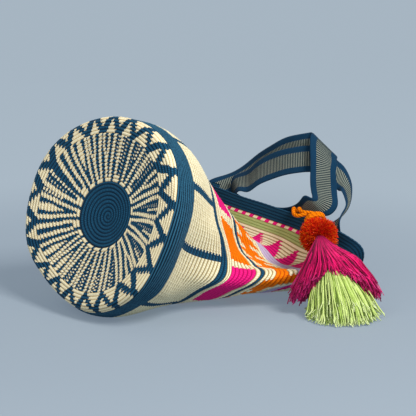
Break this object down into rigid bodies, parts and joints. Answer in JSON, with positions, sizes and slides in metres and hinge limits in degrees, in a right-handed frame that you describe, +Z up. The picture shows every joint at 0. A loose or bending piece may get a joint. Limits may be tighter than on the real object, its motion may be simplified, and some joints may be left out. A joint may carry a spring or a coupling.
{
  "type": "drawstring bucket bag",
  "caption": "Crocheted drawstring bucket bag lying on its side, with a folded woven shoulder band, a twisted cord and a pompom tassel.",
  "frame": {"origin": "on the underside, in the middle of the flat that the bag lies on", "axes": "+Z up; +Y from the round base towards the mouth; +X across the bag, towards the tassel"},
  "size_m": [0.417, 0.3314, 0.2328],
  "materials": {
    "cream_cotton": "matte",
    "blue_cotton": "matte",
    "woven_band": "matte",
    "orange_cord": "matte",
    "pompom_wool": "matte",
    "magenta_thread": "satin",
    "lime_thread": "satin"
  },
  "bodies": {
    "root": {"bag_body": "cream_cotton", "strap": "woven_band", "strap_tab_far": "blue_cotton", "drawstring": "orange_cord", "cord_wrap": "orange_cord", "pompom": "pompom_wool", "tassel_upper_skirt": "magenta_thread", "tassel_lower_skirt": "lime_thread"}
  },
  "joints": []
}
